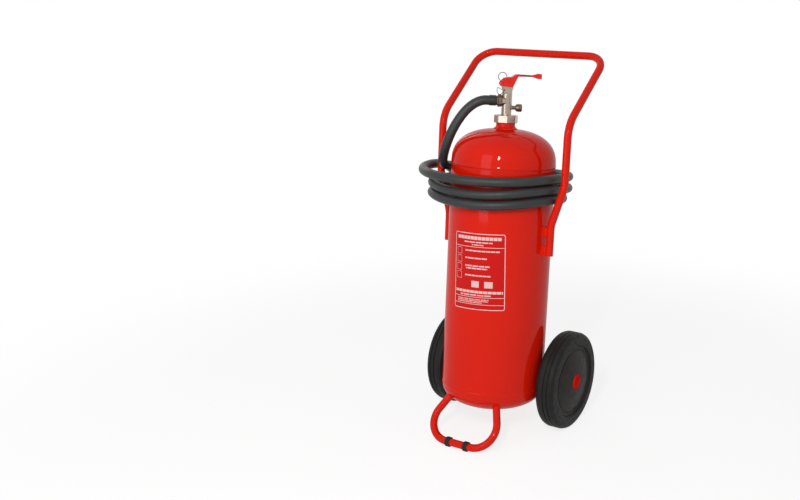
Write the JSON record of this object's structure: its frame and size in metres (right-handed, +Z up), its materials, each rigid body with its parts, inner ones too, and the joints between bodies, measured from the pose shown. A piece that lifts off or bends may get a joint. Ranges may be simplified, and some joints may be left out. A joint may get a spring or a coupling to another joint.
{
  "type": "wheeled fire extinguisher",
  "caption": "Upright steel cylinder on two wheels and a tube foot, with a bent tube handle, a lever valve with gauge and safety pin, and a hose wound round its shoulder to a clipped gun.",
  "frame": {"origin": "on the floor, under the centre of the machine's bounding box without the hose", "axes": "+Z up, -Y to the front where the foot is, +Y to the side of the handle and the wheels, +X to the machine's right as seen from the front"},
  "size_m": [0.4774, 0.5086, 1.0913],
  "materials": {
    "red_enamel": "gloss red enamel",
    "nickel_plate": "satin nickel plate on forged brass",
    "brass": "plain turned brass",
    "zinc_steel": "zinc plated steel",
    "black_rubber": "matt black rubber",
    "tyre_rubber": "solid black rubber tyre",
    "hose_rubber": "smooth dark hose cover",
    "dark_plastic": "moulded dark grey",
    "white_plastic": "white",
    "lens": "clear"
  },
  "bodies": {
    "cylinder": {"arm_lug_high_left": "red_enamel", "arm_lug_high_right": "red_enamel", "arm_lug_low_left": "red_enamel", "arm_lug_low_right": "red_enamel", "axle_saddle": "red_enamel", "axle_washer_inner_left": "zinc_steel", "axle_washer_inner_right": "zinc_steel", "axle_washer_outer_left": "zinc_steel", "axle_washer_outer_right": "zinc_steel", "cylinder_shell": "red_enamel", "dip_tube": "dark_plastic", "foot_loop": "red_enamel", "foot_pad_left": "black_rubber", "foot_pad_right": "black_rubber", "gauge_case": "nickel_plate", "gauge_dial": "white_plastic", "gauge_lens": "lens", "gun_body": "nickel_plate", "gun_clip_high": "zinc_steel", "gun_clip_low": "zinc_steel", "gun_coupling_nut": "nickel_plate", "gun_nozzle": "dark_plastic", "handle_frame": "red_enamel", "hose": "hose_rubber", "hose_ferrule_gun": "dark_plastic", "hose_ferrule_valve": "dark_plastic", "hose_tail_valve": "nickel_plate", "lever_pivot": "zinc_steel", "neck_gasket": "black_rubber", "neck_ring": "red_enamel", "outlet_nut": "nickel_plate", "seal_wire": "zinc_steel", "split_pin_left": "zinc_steel", "split_pin_right": "zinc_steel", "spring_seat": "brass", "stem_spring": "zinc_steel", "stub_axle_left": "zinc_steel", "stub_axle_right": "zinc_steel", "trigger_pin": "zinc_steel", "valve_body": "nickel_plate", "valve_collar": "nickel_plate"},
    "wheel_left": {"tyre_left": "tyre_rubber", "wheel_disc_left": "dark_plastic", "wheel_bush_left": "white_plastic", "hub_cap_left": "red_enamel"},
    "wheel_right": {"tyre_right": "tyre_rubber", "wheel_disc_right": "dark_plastic", "wheel_bush_right": "white_plastic", "hub_cap_right": "red_enamel"},
    "operating_lever": {"lever": "red_enamel"},
    "stem": {"valve_stem": "zinc_steel", "stem_seal": "black_rubber"},
    "pin": {"safety_pin": "zinc_steel", "pull_ring": "zinc_steel"},
    "needle": {"gauge_needle": "dark_plastic"},
    "trigger": {"gun_trigger": "red_enamel"}
  },
  "joints": [
    {"name": "wheel_left_spin", "type": "hinge", "parent": "cylinder", "child": "wheel_left", "pos_m": [-0.19075, 0.06048, 0.1448], "axis": [1, 0, 0], "continuous": true},
    {"name": "wheel_right_spin", "type": "hinge", "parent": "cylinder", "child": "wheel_right", "pos_m": [0.19075, 0.06048, 0.1448], "axis": [1, 0, 0], "continuous": true},
    {"name": "lever_lift", "type": "hinge", "parent": "cylinder", "child": "operating_lever", "pos_m": [0, 0.04405, 1.02004], "axis": [0.6691, -0.7391, 0.0772], "range_deg": [0, 90]},
    {"name": "stem_push", "type": "slide", "parent": "cylinder", "child": "stem", "axis": [0, -0.1038, -0.9946], "range_m": [0, 0.0041], "deforming": ["stem_spring"]},
    {"name": "pin_pull", "type": "slide", "parent": "cylinder", "child": "pin", "axis": [-0.6691, 0.7391, -0.0772], "range_m": [0, 0.134]},
    {"name": "needle_turn", "type": "hinge", "parent": "cylinder", "child": "needle", "pos_m": [0.02928, 0.06253, 0.9431], "axis": [0.7431, 0.6655, -0.0695], "range_deg": [-100, 60], "stiffness_Nm_per_rad": 0.00001},
    {"name": "trigger_squeeze", "type": "hinge", "parent": "cylinder", "child": "trigger", "pos_m": [0.02, 0.20606, 0.53007], "axis": [-1, 0, 0], "range_deg": [0, 10], "stiffness_Nm_per_rad": 0.6}
  ],
  "couplings": [
    {"joint": "stem_push", "follows": "lever_lift", "m_per_rad": 0.0025465},
    {"joint": "pin_pull", "follows": "lever_lift", "m_per_rad": 0.085}
  ]
}
